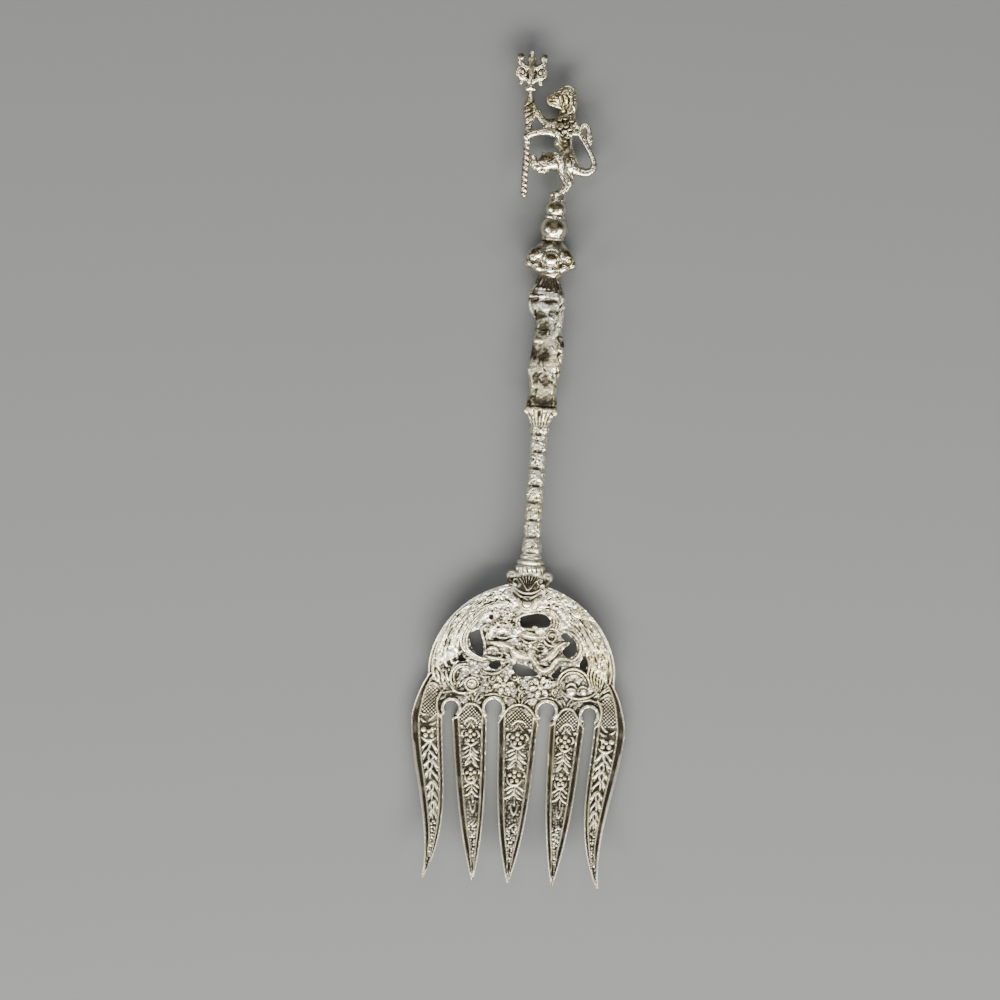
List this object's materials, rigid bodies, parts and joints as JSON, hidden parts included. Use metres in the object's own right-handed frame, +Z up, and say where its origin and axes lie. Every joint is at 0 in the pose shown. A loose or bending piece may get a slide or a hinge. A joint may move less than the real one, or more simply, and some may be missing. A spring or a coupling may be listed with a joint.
{
  "type": "salad serving fork",
  "caption": "Ornate silver-plated serving fork with broad tines, pierced relief plate, knotted stem, draped figure, lobed knop and a lion finial holding a crowned staff.",
  "frame": {"origin": "centre of the fork's bounding box in plan, on the surface it lies on", "axes": "+Y along the fork from the tips of the tines to the crown on the staff, +X across it to the right as seen from above, +Z up out of its ornamented front"},
  "size_m": [0.0638, 0.2474, 0.0116],
  "materials": {
    "silver_plate": "old silver plate, bright on the high parts, dark oxide in the hollows, slightly yellow where the plate has worn"
  },
  "bodies": {
    "root": {"salad_fork": "silver_plate"}
  },
  "joints": []
}
